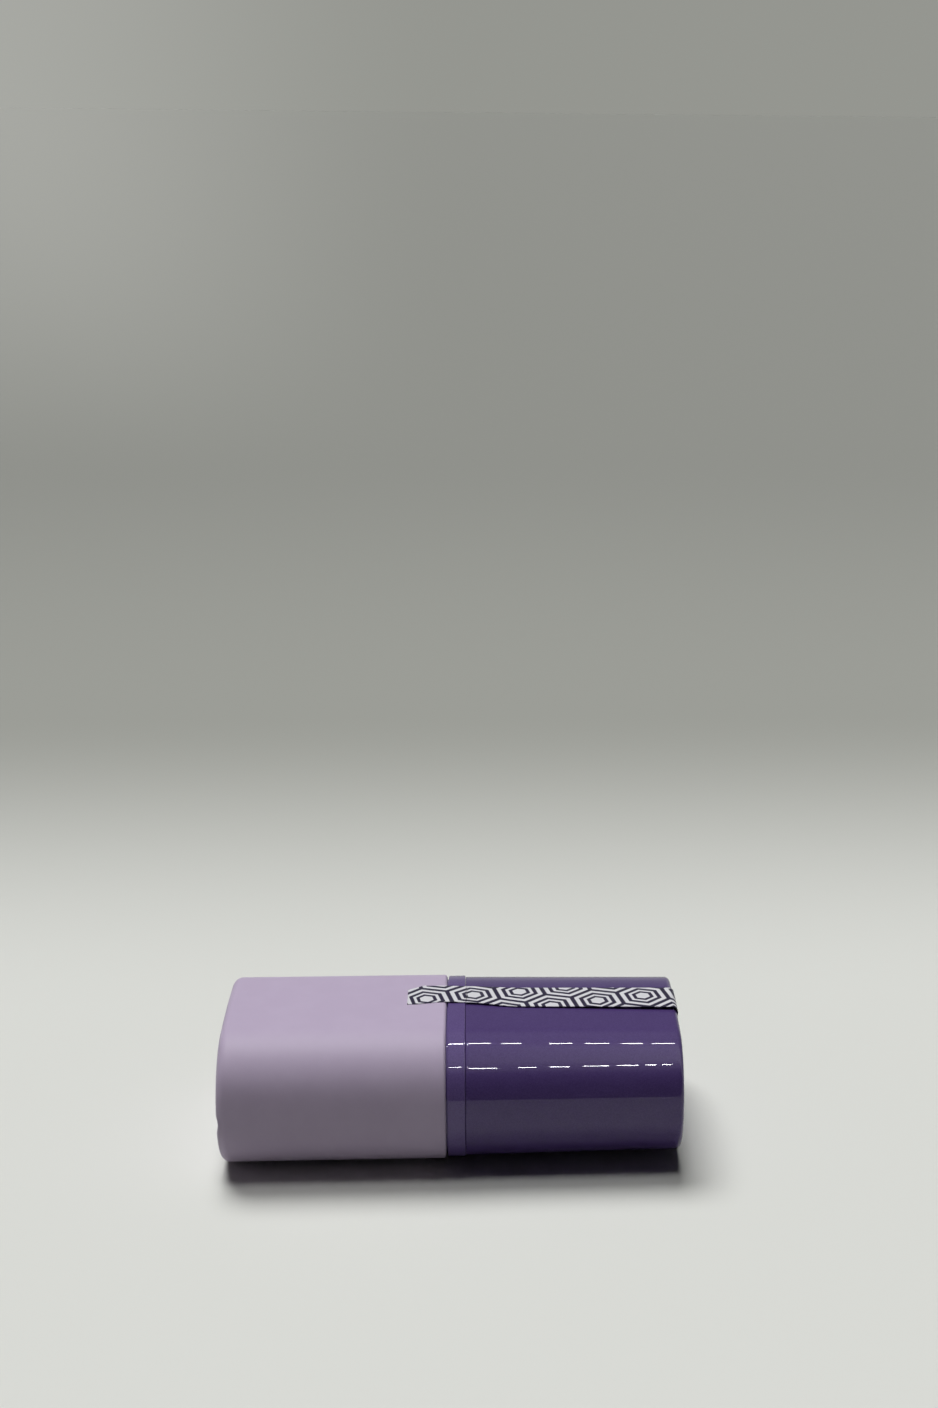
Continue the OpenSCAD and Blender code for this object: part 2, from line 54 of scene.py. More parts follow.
# Camera: a hand-held camera in front of the bottle's long side, looking down at it by about
# sixteen degrees. The picture was cropped at its left, so the lens is shifted sideways.
camera = bpy.data.objects.new("camera", bpy.data.cameras.new("camera"))
camera.location = Vector((4.14, -302.57, 158.63)) * mm
camera.rotation_euler = (radians(73.487), radians(-0.635), radians(-3.273))
camera.data.lens = 54.69
camera.data.sensor_width = 36
camera.data.shift_x = -0.0945
camera.data.clip_start = 0.01
scene.collection.objects.link(camera)
scene.camera = camera
scene.view_settings.view_transform = "Standard"


# Outer shell: one injection-moulded sleeve of the bottle's oval section, open at both ends, with a
# soft-touch lavender coat. Its lower rim has a shallow dent in the near side, which the base shares.
shell_low, shell_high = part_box("outer_shell")
base_x = shell_low.x
shell_end = shell_high.x
half_width = (shell_high.y - shell_low.y) / 2
half_height = (shell_high.z - shell_low.z) / 2
corner_radius = 10.2 * mm
face_radius = 110 * mm
side_radius = 60 * mm
shell_wall = 1.5 * mm
base_rounding = 1.4 * mm
top_rounding = 0.5 * mm
dent_width = 2.8 * mm
dent_depth = 0.32 * mm
dent_drop = 0.85 * mm
dent_radius = (dent_width ** 2 / 4 + dent_depth ** 2) / (2 * dent_depth)
smooth_below = radians(32)
side_steps = 12
corner_steps = 44
face_steps = 14
rounding_steps = 10
support = 0.1 * mm

crown_centre = half_height - face_radius
side_centre = half_width - side_radius
crown_reach = face_radius - corner_radius
side_reach = side_radius - corner_radius
centre_gap = hypot(side_centre, crown_centre)
along = (crown_reach ** 2 - side_reach ** 2 + centre_gap ** 2) / (2 * centre_gap)
aside = sqrt(crown_reach ** 2 - along ** 2)
heading = (side_centre / centre_gap, -crown_centre / centre_gap)
corner_centre = (along * heading[0] + aside * heading[1],
                 crown_centre + along * heading[1] - aside * heading[0])
crown_angle = asin(corner_centre[0] / crown_reach)
side_angle = asin(corner_centre[1] / side_reach)


def arc(centre, radius, start, end, steps):
    turns = [start + (end - start) * i / steps for i in range(steps)]
    return [(centre[0] + radius * cos(t), centre[1] + radius * sin(t)) for t in turns]


def outline(grow):
    """The section grown by grow: points (across, up) round the bottle's axis, all the way round."""
    quarter = arc((side_centre, 0), side_radius + grow, 0, side_angle, side_steps)
    quarter += arc(corner_centre, corner_radius + grow, side_angle, pi / 2 - crown_angle, corner_steps)
    quarter += arc((0, crown_centre), face_radius + grow, pi / 2 - crown_angle, pi / 2, face_steps)
    top = quarter + [(0, half_height + grow)] + [(-y, z) for y, z in reversed(quarter)]
    return top + [(y, -z) for y, z in reversed(top[1:-1])]


def ring(x, grow):
    """The section grown by grow, as points at x."""
    return [Vector((x, y, z + half_height)) for y, z in outline(grow)]


def rounding(x, grow, radius, way):
    """Rings over a rounded edge that starts (way 1) or ends (way -1) at x, on growth grow."""
    turns = [pi / 2 * i / rounding_steps for i in range(rounding_steps + 1)]
    turns = turns if way > 0 else turns[::-1]
    return [ring(x + way * radius * (1 - cos(t)), grow - radius * (1 - sin(t))) for t in turns]


def settle(name, shape, sheet=False):
    """Turns a finished bmesh into an object, smooth except at its sharp edges.
    A sheet keeps its sides, and anything else gets outward faces."""
    if not sheet:
        bmesh.ops.recalc_face_normals(shape, faces=shape.faces)
    for face in shape.faces:
        face.smooth = True
    for edge in shape.edges:
        edge.smooth = edge.calc_face_angle(0) < smooth_below
    mesh = bpy.data.meshes.new(name)
    shape.to_mesh(mesh)
    shape.free()
    piece = bpy.data.objects.new(name, mesh)
    scene.collection.objects.link(piece)
    return piece


def skin(name, rings, closed):
    """A piece through the rings. Closed joins the last ring to the first, or else both ends are filled."""
    shape = bmesh.new()
    rows = [[shape.verts.new(p) for p in r] for r in rings]
    count = len(rows[0])
    for low, high in zip(rows, rows[1:] + (rows[:1] if closed else [])):
        for i in range(count):
            j = (i + 1) % count
            shape.faces.new((low[i], low[j], high[j], high[i]))
    if not closed:
        shape.faces.new(rows[0])
        shape.faces.new(rows[-1])
    return settle(name, shape)


class Wire:
    """One socket of a finish. Arithmetic on wires adds Math nodes to it."""

    def __init__(self, tree, socket=None):
        self.tree = tree
        self.socket = socket

    def node(self, kind, settings=None, sockets=None, out=0):
        """A new node with its settings, and then the values or wires of its sockets. It gives output out."""
        made = self.tree.nodes.new(kind)
        for key, value in (settings or {}).items():
            setattr(made, key, value)
        for key, value in (sockets or {}).items():
            if isinstance(value, Wire):
                self.tree.links.new(value.socket, made.inputs[key])
            elif isinstance(value, tuple) and made.inputs[key].type == "RGBA":
                made.inputs[key].default_value = (*value, 1)
            else:
                made.inputs[key].default_value = value
        return Wire(self.tree, made.outputs[out]) if made.outputs else None

    def other(self, out):
        """Another output of the node that this wire comes from."""
        return Wire(self.tree, self.socket.node.outputs[out])

    def maths(self, operation, *values):
        return self.node("ShaderNodeMath", {"operation": operation}, dict(enumerate(values)))

    def __add__(self, other):
        return self.maths("ADD", self, other)

    def __radd__(self, other):
        return self.maths("ADD", other, self)

    def __sub__(self, other):
        return self.maths("SUBTRACT", self, other)

    def __rsub__(self, other):
        return self.maths("SUBTRACT", other, self)

    def __mul__(self, other):
        return self.maths("MULTIPLY", self, other)

    def __rmul__(self, other):
        return self.maths("MULTIPLY", other, self)

    def __truediv__(self, other):
        return self.maths("DIVIDE", self, other)

    def __rtruediv__(self, other):
        return self.maths("DIVIDE", other, self)

    def step(self, low, high):
        """0 below low, 1 above high, smooth between them."""
        return self.node("ShaderNodeMapRange", {"interpolation_type": "SMOOTHSTEP"},
                         {"Value": self, "From Min": low, "From Max": high})

    def mix(self, first, second):
        """A colour between first and second, by this wire."""
        return self.node("ShaderNodeMix", {"data_type": "RGBA"}, {0: self, 6: first, 7: second}, out=2)

    def noise(self, scale, detail=2.0):
        return self.node("ShaderNodeTexNoise", None, {"Vector": self, "Scale": scale, "Detail": detail})

    def bump(self, strength, depth):
        """The normal of a surface with this wire's relief, depth metres high."""
        return self.node("ShaderNodeBump", None, {"Strength": strength, "Distance": depth, "Height": self})


def finish(name, surface):
    """A material whose Principled shader gets the sockets that surface gives for a place on the piece."""
    made = bpy.data.materials.new(name)
    made.use_nodes = True
    made.node_tree.nodes.clear()
    start = Wire(made.node_tree)
    place = start.node("ShaderNodeTexCoord", out=3)
    shader = start.node("ShaderNodeBsdfPrincipled", None, surface(place))
    start.node("ShaderNodeOutputMaterial", None, {"Surface": shader})
    return made


def soft_touch(place):
    """Soft-touch paint: a matte lavender with a fine grain, a little paler over the base rim, partly as
    rubbed wear and partly as a painted edge highlight.
    """
    lavender = (0.518, 0.430, 0.586)
    rim_wear_and_highlight = (0.580, 0.490, 0.650)
    cloud = place.noise(260, 3)
    grain = place.noise(7000, 2)
    speck = place.noise(1900, 1)
    x = place.node("ShaderNodeSeparateXYZ", None, {0: place})
    # The paler base rim is partly worn soft touch and partly a painted edge highlight.
    rim = 1 - x.step(base_x, base_x + base_rounding)
    colour = (0.25 * cloud.step(0.35, 0.7) + 0.35 * rim).mix(lavender, rim_wear_and_highlight)
    return {"Base Color": colour, "Roughness": 0.50 + 0.10 * cloud, "Specular IOR Level": 0.32,
            "Sheen Weight": 0.10, "Sheen Roughness": 0.4,
            "Normal": (grain + 0.6 * speck).bump(0.35, 0.02 * mm)}


def dress(piece, body, node, material):
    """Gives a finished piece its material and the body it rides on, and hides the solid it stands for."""
    piece.data.materials.append(material)
    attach(piece, body)
    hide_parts(node)


def dented(points):
    """The base rim pushed in by a shallow scoop in the middle of the near side."""
    moved = []
    for p in points:
        reach = dent_radius ** 2 - (p.z - half_height + dent_drop) ** 2
        scoop = base_x + dent_depth - dent_radius + sqrt(max(reach, 0))
        moved.append(Vector((max(p.x, scoop), p.y, p.z)) if p.y < 0 else p)
    return moved


lavender_finish = finish("lavender soft touch", soft_touch)
outer = [dented(r) for r in rounding(base_x, 0, base_rounding, 1)]
outer += [ring(base_x + base_rounding + support, 0), ring(shell_end - top_rounding - support, 0)]
outer += rounding(shell_end, 0, top_rounding, -1)
outer += [ring(shell_end, -shell_wall), dented(ring(base_x, -shell_wall))]
shell = skin("shell", outer, closed=True)
dress(shell, "bottle", "outer_shell", lavender_finish)


# Base plate: a moulded lavender disc that snaps into the shell's lower end. It has a ring that
# centres the reservoir, a wall on each narrow side, and the hole that lets air in below the piston.
plate_low, plate_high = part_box("base_plate")
plate_in = 1.55 * mm
plate_thick = 1.6 * mm
locator_top = 2.7 * mm
locator_outer = 8.25 * mm
locator_inner = 7.05 * mm
air_inlet = 3 * mm
side_wall = 1.2 * mm
side_wall_from = 10.3 * mm
plate_edge = 0.25 * mm
dent_run = 3 * mm


def circle_ring(x, radius):
    """A round ring whose points lie in the same directions as the section's."""
    ways = [Vector((0, y, z)).normalized() for y, z in outline(0)]
    return [Vector((x, 0, half_height)) + way * radius for way in ways]


rings = [ring(plate_low.x, -plate_in - dent_run)]
rings += [dented(r) for r in rounding(plate_low.x, -plate_in, plate_edge, 1)]
rings += rounding(plate_low.x + plate_thick, -plate_in, plate_edge, -1)
steps_in = ((plate_thick, locator_outer), (locator_top, locator_outer), (locator_top, locator_inner),
            (plate_thick, locator_inner), (plate_thick, air_inlet), (0, air_inlet))
rings += [circle_ring(plate_low.x + height, radius) for height, radius in steps_in]
plate = skin("base_disc", rings, closed=True)
shape = bmesh.new()
shape.from_mesh(plate.data)
sunk = plate_low.x + plate_thick / 2
for side in (-1, 1):
    outside = [p for p in outline(-plate_in) if p[0] * side > side_wall_from]
    outside.sort(key=lambda p: p[1])
    inside = [p for p in outline(-plate_in - side_wall) if p[0] * side > side_wall_from]
    inside.sort(key=lambda p: -p[1])
    loop = [(y, z + half_height) for y, z in outside + inside]
    foot = [shape.verts.new((sunk, y, z)) for y, z in loop]
    head = [shape.verts.new((plate_high.x, y, z)) for y, z in loop]
    for i in range(len(loop)):
        shape.faces.new((foot[i - 1], foot[i], head[i], head[i - 1]))
    shape.faces.new(foot)
    shape.faces.new(head)
bpy.data.objects.remove(plate)
plate = settle("base_disc", shape)
dress(plate, "bottle", "base_plate", lavender_finish)


# Reservoir: the moulded round inner container of natural plastic, with a shoulder and a neck that
# has a snap bead. The pump is clipped to the neck, and the piston closes the open lower end. Sizes
# of the round pieces are in mm, with heights from the shell's lower end.
container_bore = 8.3
container_wall = 0.8
container_low = 1.65
shoulder_top = 31.25
shoulder_low = 30.15
neck_radius = 5.3
neck_bore = neck_radius - container_wall
neck_top = 40.65
bead_radius = neck_radius + 0.4
bead_height = 0.8
turn_steps = 96
curve_shares = (0, 0.25, 0.5, 0.75, 1)
longest_cut = 0.4
soft_corner = 0.15 * mm


def on_axis(radius, height, turn):
    """The place of a profile point on a piece that is round about the bottle's axis."""
    return Vector((base_x + height, radius * cos(turn), half_height + radius * sin(turn)))


def softened(profile, radius):
    """The closed profile with each corner drawn as a short curve, except where it meets the axis."""
    if radius == 0:
        return profile
    points = []
    for i, here in enumerate(profile):
        back = profile[i - 1] - here
        ahead = profile[(i + 1) % len(profile)] - here
        cut = min(radius, longest_cut * back.length, longest_cut * ahead.length)
        first = here + back.normalized() * cut
        last = here + ahead.normalized() * cut
        if here.x == 0:
            points.append(here)
        else:
            points += [first * (1 - t) ** 2 + here * 2 * t * (1 - t) + last * t ** 2
                       for t in curve_shares]
    return points


def turned(name, profile, soft=soft_corner, spot=on_axis):
    """A round piece from its closed profile of (radius, height) points in mm, with softened corners."""
    shape = bmesh.new()
    rows = []
    for radius, height in softened([Vector(p) * mm for p in profile], soft):
        count = turn_steps if radius > 0 else 1
        rows.append([shape.verts.new(spot(radius, height, 2 * pi * i / turn_steps)) for i in range(count)])
    for low, high in zip(rows, rows[1:] + rows[:1]):
        for i in range(turn_steps):
            j = i + 1
            corners = (low[i % len(low)], low[j % len(low)], high[j % len(high)], high[i % len(high)])
            corners = list(dict.fromkeys(corners))
            if len(corners) > 2:
                shape.faces.new(corners)
    return settle(name, shape)


def moulded(dark, light, sheen, grain_scale):
    """A moulded surface between two tones, with roughness about sheen and a fine grain."""
    def surface(place):
        cloud = place.noise(300, 2)
        grain = place.noise(grain_scale, 2)
        colour = cloud.step(0.3, 0.7).mix(dark, light)
        return {"Base Color": colour, "Roughness": sheen + 0.08 * cloud,
                "Normal": grain.bump(0.25, 0.01 * mm)}
    return surface


natural_tones = moulded((0.66, 0.67, 0.63), (0.76, 0.77, 0.74), 0.30, 5200)
natural_finish = finish("natural plastic", natural_tones)
container_outside = container_bore + container_wall
reservoir = turned("inner_container", [
    (container_bore, container_low), (container_outside, container_low),
    (container_outside, shoulder_top - container_wall), (container_bore, shoulder_top),
    (neck_radius, shoulder_top), (neck_radius, neck_top - 2 * bead_height),
    (bead_radius, neck_top - 1.5 * bead_height), (bead_radius, neck_top - 0.5 * bead_height),
    (neck_radius, neck_top), (neck_bore, neck_top), (neck_bore, shoulder_low),
    (container_bore - container_wall, shoulder_low), (container_bore, shoulder_low - container_wall)])
dress(reservoir, "bottle", "reservoir", natural_finish)


# Follower piston: a moulded disc with an upper and a lower sealing lip, which the air behind it
# pushes up the reservoir as the product is used.
seal_play = 0.04
follower_low = 2.75
follower_top = 8.75
follower_wall = 0.9
wiper_height = 0.8
wiper_radius = container_bore - seal_play
skirt_radius = wiper_radius - follower_wall / 2
well_radius = skirt_radius - follower_wall
well_low = 3.55
well_top = well_low + follower_wall
follower = turned("rising_piston", [
    (0, well_low), (well_radius, well_low), (well_radius, follower_low), (wiper_radius, follower_low),
    (wiper_radius, follower_low + wiper_height), (skirt_radius, follower_low + 2 * wiper_height),
    (skirt_radius, follower_top - 2 * wiper_height), (wiper_radius, follower_top - wiper_height),
    (wiper_radius, follower_top), (well_radius, follower_top), (well_radius, well_top), (0, well_top)])
dress(follower, "follower", "follower_piston", natural_finish)


# Neck gasket: a flat ring of soft moulded rubber. It is pressed between the pump's flange and the
# rim of the neck.
push_play = 0.05
chamber_bore = 3.4
chamber_wall = 0.8
chamber_outside = chamber_bore + chamber_wall
gasket_bore = chamber_outside + push_play
gasket_top = neck_top + 0.5
small_corner = 0.12 * mm
rubber_finish = finish("seal rubber", moulded((0.60, 0.60, 0.57), (0.68, 0.68, 0.65), 0.62, 2600))
gasket = turned("flat_ring", [
    (gasket_bore, neck_top), (neck_radius, neck_top), (neck_radius, gasket_top), (gasket_bore, gasket_top)],
    small_corner)
dress(gasket, "bottle", "neck_gasket", rubber_finish)


# Pump housing: the stepped chamber of white plastic that hangs in the neck by its flange. Its
# narrow foot holds the conical seat of the inlet ball.
inlet_radius = 0.9
inlet_low = 26.25
pocket_radius = 2.077
seat_low = 28.339
chamber_low = 30.25
flange_top = gasket_top + 0.8
white_finish = finish("white plastic", moulded((0.76, 0.76, 0.75), (0.84, 0.84, 0.83), 0.34, 6400))
housing = turned("pump_chamber", [
    (inlet_radius, inlet_low), (pocket_radius + chamber_wall, inlet_low),
    (pocket_radius + chamber_wall, chamber_low - 2 * chamber_wall), (chamber_outside, chamber_low),
    (chamber_outside, gasket_top), (bead_radius, gasket_top), (bead_radius, flange_top),
    (chamber_bore, flange_top), (chamber_bore, chamber_low), (pocket_radius, chamber_low),
    (pocket_radius, seat_low + pocket_radius - inlet_radius), (inlet_radius, seat_low)], small_corner)
dress(housing, "bottle", "pump_housing", white_finish)


# Inlet ball: a ground steel ball. It lies loose on the conical seat, and lifts when the rising
# plunger draws product into the chamber.
ball_radius = 1.3226
ball_height = 29.349
ball_steps = 40


def steel(place):
    """Bright steel with faint streaks."""
    streak = place.noise(2400, 4)
    cloud = place.noise(700, 2)
    colour = cloud.step(0.3, 0.7).mix((0.50, 0.51, 0.53), (0.64, 0.65, 0.67))
    return {"Base Color": colour, "Metallic": 1.0, "Roughness": 0.20 + 0.16 * streak,
            "Normal": streak.bump(0.15, 0.01 * mm)}


steel_finish = finish("bright steel", steel)
turns = [pi * i / ball_steps for i in range(1, ball_steps)]
half_circle = [(ball_radius * sin(t), ball_height - ball_radius * cos(t)) for t in turns]
lowest = (0, ball_height - ball_radius)
highest = (0, ball_height + ball_radius)
ball = turned("steel_ball", [lowest, *half_circle, highest], soft=0)
dress(ball, "ball", "inlet_ball", steel_finish)


# Ball cage: a small moulded cup over the ball, with four windows in its roof for the product. Its
# foot is pressed on the chamber's floor by the spring.
roof_low = 31.222
roof_high = 31.62
cage_bore = 1.373
cage_radius = pocket_radius + 0.2
cage_low = chamber_low + push_play
cage_foot_top = cage_low + 0.4
foot_radius = 3.08
window = 0.66 * mm
weld = 0.0005 * mm


def bar(low, high):
    """A plain block between two corners, in metres, to cut or join with."""
    shape = bmesh.new()
    bmesh.ops.create_cube(shape, size=1)
    for corner in shape.verts:
        corner.co = [(low[i] + high[i]) / 2 + corner.co[i] * (high[i] - low[i]) for i in range(3)]
    return settle("block", shape)


def worked(piece, operation, tool):
    """piece after tool has been joined to it or cut from it."""
    name = piece.name
    change = piece.modifiers.new("work", "BOOLEAN")
    change.operation = operation
    change.object = tool
    change.solver = "EXACT"
    shape = bmesh.new()
    shape.from_object(piece, bpy.context.evaluated_depsgraph_get())
    bmesh.ops.remove_doubles(shape, verts=shape.verts, dist=weld)
    bpy.data.objects.remove(piece)
    bpy.data.objects.remove(tool)
    return settle(name, shape)


cage = turned("valve_cage", [
    (0, roof_low), (cage_bore, roof_low), (cage_bore, cage_low), (foot_radius, cage_low),
    (foot_radius, cage_foot_top), (cage_radius, cage_foot_top), (cage_radius, roof_high),
    (0, roof_high)], small_corner / 2)
reach = window / 2
below_roof = base_x + roof_low * mm - reach
above_roof = base_x + roof_high * mm + reach
for y in (-window, window):
    for z in (half_height - window, half_height + window):
        punch = bar((below_roof, y - reach, z - reach), (above_roof, y + reach, z + reach))
        cage = worked(cage, "DIFFERENCE", punch)
dress(cage, "bottle", "ball_cage", natural_finish)


# Return spring: cold-wound from round steel wire, between the cage's foot and the stem's flange.
coil_radius = 2.729 * mm
coil_turns = 4.0
wire_radius = 0.21 * mm
spring_low = base_x + 30.96 * mm
spring_rise = 4.74 * mm


def formed(name, sizes, material, draw):
    """The plain shape that a Geometry Nodes tree makes. The named sizes are its inputs, and draw gives
    its geometry from the input node."""
    tree = bpy.data.node_groups.new(name, "GeometryNodeTree")
    identifiers = {}
    for key, value in sizes.items():
        socket = tree.interface.new_socket(key, in_out="INPUT", socket_type="NodeSocketFloat")
        socket.default_value = value
        identifiers[key] = socket.identifier
    tree.interface.new_socket("Geometry", in_out="OUTPUT", socket_type="NodeSocketGeometry")
    into = Wire(tree).node("NodeGroupInput")
    real = into.node("GeometryNodeRealizeInstances", None, {0: draw(into)})
    painted = into.node("GeometryNodeSetMaterial", None, {"Geometry": real, "Material": material})
    into.node("NodeGroupOutput", None, {"Geometry": painted})
    holder = bpy.data.objects.new(name, bpy.data.meshes.new(name))
    scene.collection.objects.link(holder)
    maker = holder.modifiers.new("maker", "NODES")
    maker.node_group = tree
    for key, value in sizes.items():
        maker[identifiers[key]] = value
    drawn = holder.evaluated_get(bpy.context.evaluated_depsgraph_get())
    shape = bmesh.new()
    shape.from_mesh(bpy.data.meshes.new_from_object(drawn))
    bpy.data.objects.remove(holder)
    return shape


def coiled(into):
    """A wire that climbs round the axis."""
    path = into.node("GeometryNodeCurveSpiral", None, {
        "Resolution": 48, "Rotations": into.other("turns"), "Start Radius": into.other("coil radius"),
        "End Radius": into.other("coil radius"), "Height": into.other("rise")})
    wire_round = into.node("GeometryNodeCurvePrimitiveCircle", None, {
        "Resolution": 16, "Radius": into.other("wire radius")})
    tube = into.node("GeometryNodeCurveToMesh", None, {
        "Curve": path, "Profile Curve": wire_round, "Fill Caps": True})
    return into.node("GeometryNodeTransform", None, {
        "Geometry": tube, "Translation": (spring_low, 0.0, half_height), "Rotation": (0.0, pi / 2, 0.0)})


spring_sizes = {"coil radius": coil_radius, "wire radius": wire_radius, "turns": coil_turns,
                "rise": spring_rise}
spring = settle("coil_spring", formed("spring", spring_sizes, steel_finish, coiled))
dress(spring, "bottle", "return_spring", steel_finish)
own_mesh(spring)


# Pump stem: the hollow plunger of white plastic. Its flange stands on the spring, a cross hole
# above it takes the product in, and its upper end is pressed into the head.
stem_radius = 1.802
stem_bore = stem_radius - 0.9
stem_low = 34.96
stem_top = 52.22
stem_foot_low = stem_low + 1
stem_foot_top = 36.6
cross_hole = stem_bore / 2
cross_reach = 2.5
cross_x = base_x + 38 * mm


def across(radius, height, turn):
    """The place of a profile point on a bar that runs through the stem from side to side."""
    return Vector((cross_x + radius * cos(turn), height, half_height + radius * sin(turn)))


def rod(radius, low, high, spot):
    """A plain round bar to cut or join with, sized in mm."""
    return turned("rod", [(0, low), (radius, low), (radius, high), (0, high)], 0, spot)


stem = turned("hollow_plunger", [
    (0, stem_low), (stem_radius, stem_low), (stem_radius, stem_foot_low), (foot_radius, stem_foot_low),
    (foot_radius, stem_foot_top), (stem_radius, stem_foot_top), (stem_radius, stem_top),
    (stem_bore, stem_top), (stem_bore, stem_foot_top), (0, stem_foot_top)], 0.1 * mm)
stem = worked(stem, "DIFFERENCE", rod(cross_hole, -cross_reach, cross_reach, across))
dress(stem, "plunger", "pump_stem", white_finish)


# Pump piston: a moulded seal of natural plastic with a lip at each end. It is pushed onto the stem
# above the flange, and its lips slide on the chamber's wall.
piston_bore = stem_radius + push_play
piston_low = stem_foot_top + push_play
piston_top = 39.4
lip_radius = chamber_bore - seal_play
lip_root = lip_radius - 0.4
lip_height = 0.56
piston = turned("lip_seal", [
    (piston_bore, piston_low), (lip_root, piston_low + lip_height / 2), (lip_radius, piston_low),
    (lip_radius, piston_low + lip_height / 2), (lip_root, piston_low + 1.5 * lip_height),
    (lip_root, piston_top - 1.5 * lip_height), (lip_radius, piston_top - lip_height / 2),
    (lip_radius, piston_top), (lip_root, piston_top - lip_height / 2), (piston_bore, piston_top)],
    0.08 * mm)
dress(piston, "plunger", "pump_piston", natural_finish)


# Stem guide: a white moulded bush, pressed into the chamber's open end. It keeps the stem straight
# and stops the piston's rise.
guide_low = piston_top + push_play
guide_top = flange_top + 0.8
guide_radius = chamber_bore - push_play
guide = turned("guide_bush", [
    (piston_bore, guide_low), (guide_radius, guide_low), (guide_radius, flange_top),
    (chamber_outside, flange_top), (chamber_outside, guide_top), (piston_bore, guide_top)], small_corner)
dress(guide, "bottle", "stem_guide", white_finish)


# Snap ferrule: a white moulded ring over the pump's flange. A bead inside its lower rim snaps under
# the neck's bead and holds the pump down.
ferrule_bore = bead_radius + push_play
ferrule_radius = ferrule_bore + 0.9
ferrule_low = neck_top - 3 * bead_height
ferrule_top = guide_top + push_play
ferrule_bevel = 0.3
hook_radius = neck_radius + push_play
hook_top = neck_top - 2 * bead_height
ferrule = turned("clip_ring", [
    (hook_radius, ferrule_low), (ferrule_radius, ferrule_low), (ferrule_radius, ferrule_top - ferrule_bevel),
    (ferrule_radius - ferrule_bevel, ferrule_top), (gasket_bore, ferrule_top),
    (gasket_bore, flange_top + push_play), (ferrule_bore, flange_top + push_play),
    (ferrule_bore, hook_top), (hook_radius, hook_top - push_play)], small_corner)
dress(ferrule, "bottle", "snap_ferrule", white_finish)


# Collar: a moulded and lacquered band with the sleeve that plugs into the shell and the spigot that
# the cap seats on. Its deck has a round hole for the pump.
collar_low, collar_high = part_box("collar")
groove = 0.2 * mm
groove_depth = 0.7 * mm
band_step = 0.15 * mm
band_height = 2.65 * mm
collar_wall = 1 * mm
deck = 1.3 * mm
spigot_in = 3 * mm
pump_hole = 5.75 * mm
edge_break = 0.15 * mm
band_start = shell_end + groove
band_end = band_start + band_height
sleeve_in = shell_wall + 0.05 * mm


def lacquer(deep, bright):
    """Pearl lacquer: small flakes between two tones under a clear coat."""
    def surface(place):
        flake = place.node("ShaderNodeTexVoronoi", None, {"Vector": place, "Scale": 9000.0}, out=1)
        tone = place.node("ShaderNodeSeparateColor", None, {0: flake})
        cloud = place.noise(500, 2)
        colour = (0.55 * tone + 0.25 * cloud).mix(deep, bright)
        return {"Base Color": colour, "Metallic": 0.08, "Roughness": 0.46 + 0.06 * cloud,
                "Specular IOR Level": 0.15, "Normal": tone.bump(0.25, 0.01 * mm),
                "Coat Weight": 1.0, "Coat Roughness": 0.012, "Coat IOR": 1.37}
    return surface


band_lacquer = lacquer((0.098, 0.060, 0.208), (0.150, 0.101, 0.290))
band_finish = finish("pearl purple lacquer on the band", band_lacquer)
profile = [ring(collar_low.x, -sleeve_in), ring(shell_end, -sleeve_in), ring(shell_end, -groove_depth),
           ring(band_start, -groove_depth)]
profile += rounding(band_start, -band_step, edge_break, 1)
profile += [ring(band_start + edge_break + support, -band_step),
            ring(band_end - edge_break - support, -band_step)]
profile += rounding(band_end, -band_step, edge_break, -1)
profile += [ring(band_end, -spigot_in)]
profile += rounding(collar_high.x, -spigot_in, collar_wall / 3, -1)
profile += [ring(collar_high.x, -spigot_in - collar_wall), ring(band_end, -spigot_in - collar_wall),
            circle_ring(band_end, pump_hole), circle_ring(band_end - deck, pump_hole),
            ring(band_end - deck, -sleeve_in - collar_wall), ring(collar_low.x, -sleeve_in - collar_wall)]
collar = skin("collar_band", profile, closed=True)
dress(collar, "bottle", "collar", band_finish)


# Actuator: the lavender push button with a shallow finger dish. Inside, its boss is pressed on the
# stem, two webs stiffen it, and a cross tube leads the product to the nozzle in its broad side.
head_low, head_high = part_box("actuator")
nozzle_low, nozzle_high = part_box("nozzle_insert")
head_in = 4.25 * mm
head_wall = 1 * mm
head_roof = 1.6 * mm
head_edge = 0.5 * mm
boss_radius = 2.852 * mm
boss_start = base_x + 47.188 * mm
socket_radius = 1.82 * mm
socket_end = base_x + stem_top * mm
bore_start = 47
nozzle_x = (nozzle_low.x + nozzle_high.x) / 2
outlet_radius = 0.65
outlet_tube = 2.5
nozzle_seat = 1.52
dish_depth = 0.7 * mm
dish_radius = 59.5 * mm
dish_rings = 24
web = 0.8 * mm


def dished(points):
    """Points of the button's top, lowered where the finger dish reaches them."""
    lowered = []
    for p in points:
        reach = dish_radius ** 2 - p.y ** 2 - (p.z - half_height) ** 2
        lowered.append(p - Vector((max(0, sqrt(reach) - dish_radius + dish_depth), 0, 0)))
    return lowered


def towards_nozzle(radius, height, turn):
    """The place of a profile point on a piece that is round about the outlet."""
    return Vector((nozzle_x + radius * cos(turn), radius * sin(turn), height))


